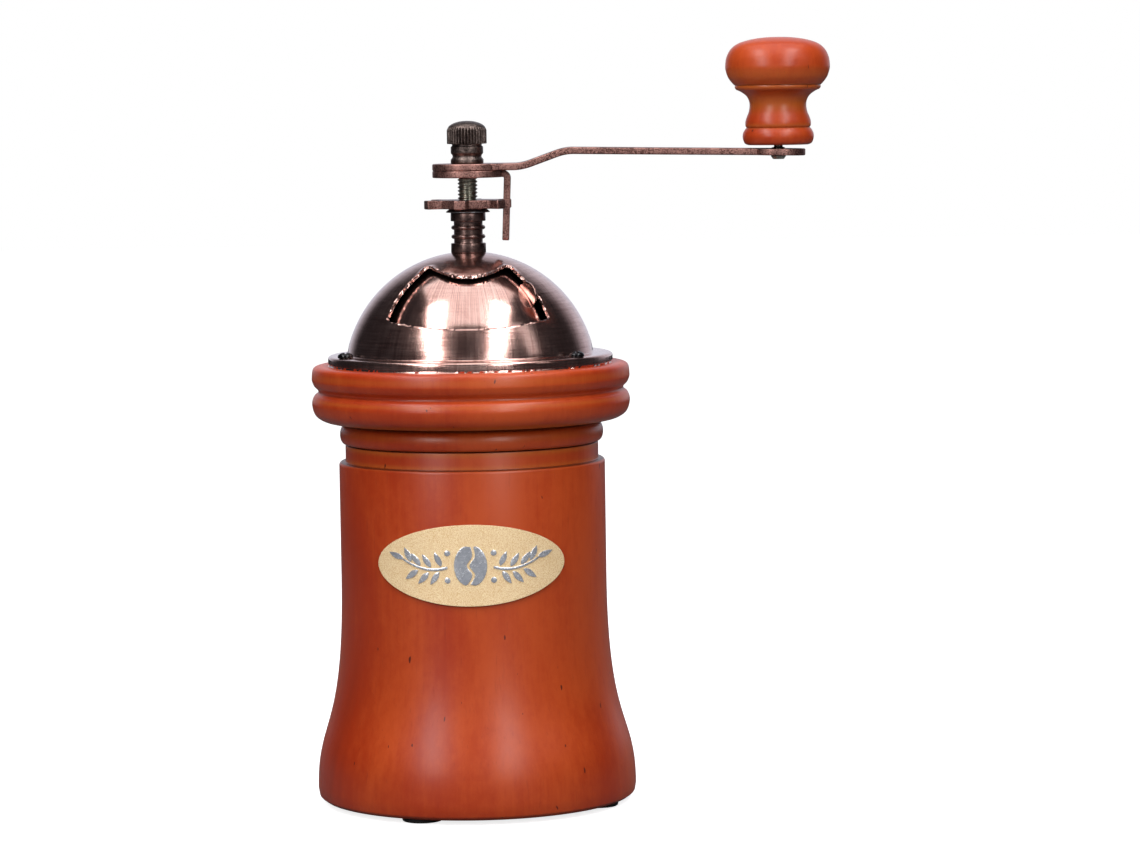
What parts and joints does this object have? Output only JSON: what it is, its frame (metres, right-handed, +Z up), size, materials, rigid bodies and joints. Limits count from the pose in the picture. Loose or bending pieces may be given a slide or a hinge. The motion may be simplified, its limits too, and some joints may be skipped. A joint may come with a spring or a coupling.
{
  "type": "burr coffee grinder",
  "caption": "Hand-cranked burr coffee grinder with a turned wooden jar and body, a metal dome hopper with a sliding door, a star-nut grind adjuster and a crank with a wooden knob.",
  "frame": {"origin": "centre of the wooden jar's flat underside, on the grinder's turning axis; the pads stand 1.3 mm below it", "axes": "+Z up along the shaft, +X along the crank arm at rest, -Y out of the front with the badge and the loading opening"},
  "size_m": [0.1434, 0.088, 0.209],
  "materials": {
    "wood": "satin reddish-brown stain under lacquer",
    "badge_gold": "fine sand-blasted pale gold, silver motif",
    "rubber": "matt black",
    "copper": "antique copper plate, finely brushed",
    "dark_copper": "dark antique copper plate, satin",
    "black_steel": "glossy black",
    "zinc_steel": "zinc plated, satin",
    "cast_iron": "plain cast, ground teeth",
    "brass": "turned"
  },
  "bodies": {
    "jar": {"lower_jar": "wood", "badge": "badge_gold", "foot_pad_1": "rubber", "foot_pad_2": "rubber", "foot_pad_3": "rubber", "foot_pad_4": "rubber"},
    "housing": {"upper_body": "wood", "dome": "copper", "dome_screw_1": "black_steel", "dome_screw_2": "black_steel", "dome_screw_3": "black_steel", "sleeve": "dark_copper", "door_retainer": "zinc_steel", "outer_burr": "cast_iron", "bearing_bridge": "zinc_steel", "bridge_bush": "brass", "burr_screw_1": "zinc_steel", "burr_screw_2": "zinc_steel", "burr_screw_3": "zinc_steel"},
    "door": {"hopper_door": "copper"},
    "spring_seat": {"spring_washer": "zinc_steel", "burr_spring": "zinc_steel"},
    "shaft": {"shaft": "zinc_steel", "inner_burr": "cast_iron", "burr_washer": "zinc_steel", "burr_nut": "zinc_steel"},
    "star_nut": {"star_nut": "dark_copper", "nut_washer": "zinc_steel"},
    "lock_plate": {"lock_plate": "copper"},
    "crank": {"crank_arm": "copper", "knob_pin": "zinc_steel"},
    "cap_nut": {"cap_nut": "dark_copper"},
    "knob": {"knob": "wood"}
  },
  "joints": [
    {"name": "housing_lift", "type": "slide", "parent": "jar", "child": "housing", "axis": [0, 0, 1], "range_m": [0, 0.06]},
    {"name": "door_turn", "type": "hinge", "parent": "housing", "child": "door", "pos_m": [0, 0, 0.148], "axis": [0, 0, 1], "range_deg": [-84, 0]},
    {"name": "shaft_float", "type": "slide", "parent": "housing", "child": "spring_seat", "axis": [0, 0, 1], "range_m": [0, 0.0008], "stiffness_N_per_m": 3000, "springref_m": -0.004, "deforming": ["burr_spring"]},
    {"name": "crank_turn", "type": "hinge", "parent": "spring_seat", "child": "shaft", "pos_m": [0, 0, 0.12], "axis": [0, 0, 1], "continuous": true},
    {"name": "adjuster_turn", "type": "hinge", "parent": "shaft", "child": "star_nut", "pos_m": [0, 0, 0.163], "axis": [0, 0, 1], "range_deg": [-1.5, 20]},
    {"name": "lock_plate_lift", "type": "slide", "parent": "shaft", "child": "lock_plate", "axis": [0, 0, 1], "range_m": [0, 0.0115]},
    {"name": "crank_lift", "type": "slide", "parent": "lock_plate", "child": "crank", "axis": [0, 0, 1], "range_m": [0, 0.01]},
    {"name": "cap_nut_lift", "type": "slide", "parent": "crank", "child": "cap_nut", "axis": [0, 0, 1], "range_m": [0, 0.012]},
    {"name": "knob_spin", "type": "hinge", "parent": "crank", "child": "knob", "pos_m": [0.0853, 0, 0.19], "axis": [0, 0, 1], "continuous": true}
  ]
}
